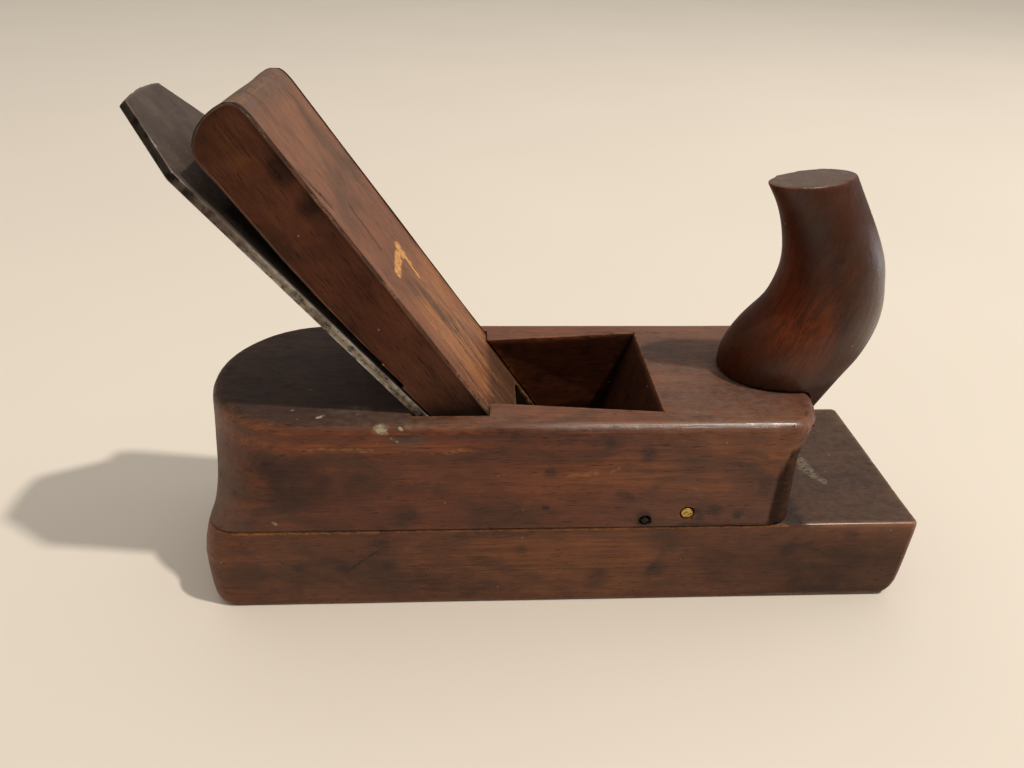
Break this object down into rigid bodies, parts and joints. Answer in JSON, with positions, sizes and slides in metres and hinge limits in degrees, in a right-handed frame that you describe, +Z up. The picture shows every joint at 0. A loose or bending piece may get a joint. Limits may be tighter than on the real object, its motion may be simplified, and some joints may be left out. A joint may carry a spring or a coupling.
{
  "type": "hand plane",
  "caption": "Old wooden bench plane with a curved front horn, a stepped sole board, a sloping tapered iron and a forked wooden wedge.",
  "frame": {"origin": "middle of the whole plane's box seen from above, on the sole's face", "axes": "+X along the sole towards the toe, +Y across to the left-hand side seen from the heel, +Z up out of the stock's top"},
  "size_m": [0.224, 0.066, 0.1523],
  "materials": {
    "stock_wood": "dark reddish brown, oiled and worn, satin",
    "sole_wood": "brown, oiled and worn, satin",
    "horn_wood": "reddish brown, polished by hands, glossy",
    "wedge_wood": "brown, dry, scratched, matt to satin",
    "iron_steel": "dark grey-brown patina with brighter worn edges",
    "pin_brass": "tarnished brass",
    "nail_iron": "rusted black iron"
  },
  "bodies": {
    "stock": {"body_block": "stock_wood", "sole_board": "sole_wood", "horn": "horn_wood", "brass_pin": "pin_brass", "iron_nail": "nail_iron"},
    "iron": {"cutting_iron": "iron_steel"},
    "wedge_piece": {"wedge": "wedge_wood"}
  },
  "joints": [
    {"name": "iron_slide", "type": "slide", "parent": "stock", "child": "iron", "axis": [-0.6361, 0, 0.7716], "range_m": [-0.001, 0.06]},
    {"name": "wedge_slide", "type": "slide", "parent": "stock", "child": "wedge_piece", "axis": [-0.5606, 0, 0.8281], "range_m": [0, 0.06]}
  ]
}
